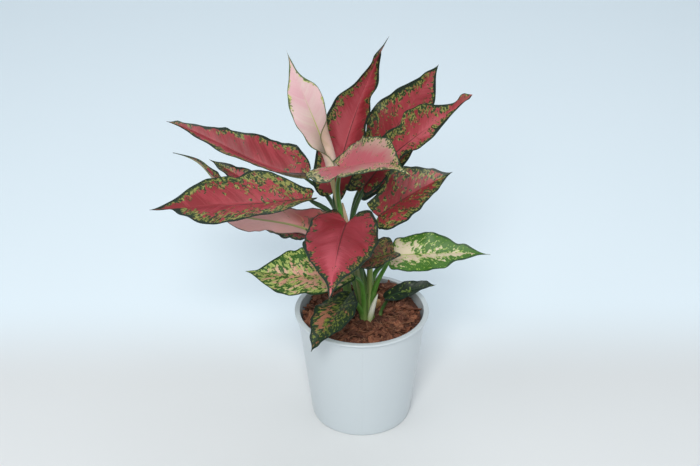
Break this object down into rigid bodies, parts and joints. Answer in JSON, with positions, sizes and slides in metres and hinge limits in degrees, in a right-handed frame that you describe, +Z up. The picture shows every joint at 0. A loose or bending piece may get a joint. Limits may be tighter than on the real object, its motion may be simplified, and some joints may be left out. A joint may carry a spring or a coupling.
{
  "type": "potted chinese evergreen",
  "caption": "Bushy foliage plant with pointed crimson, pink and cream leaves edged in green, growing from bark chips in a plain white tapered pot; stands on a flat surface as decoration.",
  "frame": {"origin": "centre of the pot's underside, on the surface that it stands on", "axes": "+Z up along the pot's axis; +X to the plant's right as it is usually looked at; +Y away from the viewer, towards its taller back"},
  "size_m": [0.259, 0.1626, 0.3202],
  "materials": {
    "pot_plastic": "smooth moulded white plastic, lightly glossy",
    "bark_soil": "damp reddish-brown coconut bark chips and fibre, matt",
    "petiole_green": "smooth fresh green stalks with paler stripes, satin",
    "sheath_pale": "thin pale bud scale, matt",
    "cane_tan": "dry cut end of an old cane, matt",
    "leaf_crimson": "crimson leaf with a dark green edge and lime flecks, satin",
    "leaf_underside": "dusty pink underside with a green midrib, satin",
    "leaf_pale": "pale pink young leaf with a thin lime edge, satin",
    "leaf_cream": "cream leaf splashed with lime and deep green, satin",
    "leaf_shaded": "olive leaf with rust and lime flecks, satin",
    "leaf_green": "deep green leaf with a few lime flecks, satin"
  },
  "bodies": {
    "root": {"pot": "pot_plastic", "soil": "bark_soil", "shoot_front": "petiole_green", "shoot_middle": "petiole_green", "shoot_back": "petiole_green", "shoot_small": "petiole_green", "bud_scale": "sheath_pale", "cane_stub": "cane_tan", "blade_left_upper": "leaf_crimson", "blade_left_narrow": "leaf_shaded", "blade_left_back": "leaf_crimson", "blade_left_front": "leaf_crimson", "blade_left_turned": "leaf_underside", "blade_left_low": "leaf_crimson", "blade_front_heart": "leaf_crimson", "blade_young_pale": "leaf_pale", "blade_tall_crimson": "leaf_crimson", "blade_front_arched": "leaf_pale", "blade_right_top": "leaf_crimson", "blade_right_upper": "leaf_crimson", "blade_right_middle": "leaf_crimson", "blade_right_cream": "leaf_cream", "blade_right_shaded": "leaf_shaded", "blade_front_cream": "leaf_cream", "blade_front_hanging": "leaf_shaded", "blade_rim_small": "leaf_green"}
  },
  "joints": []
}
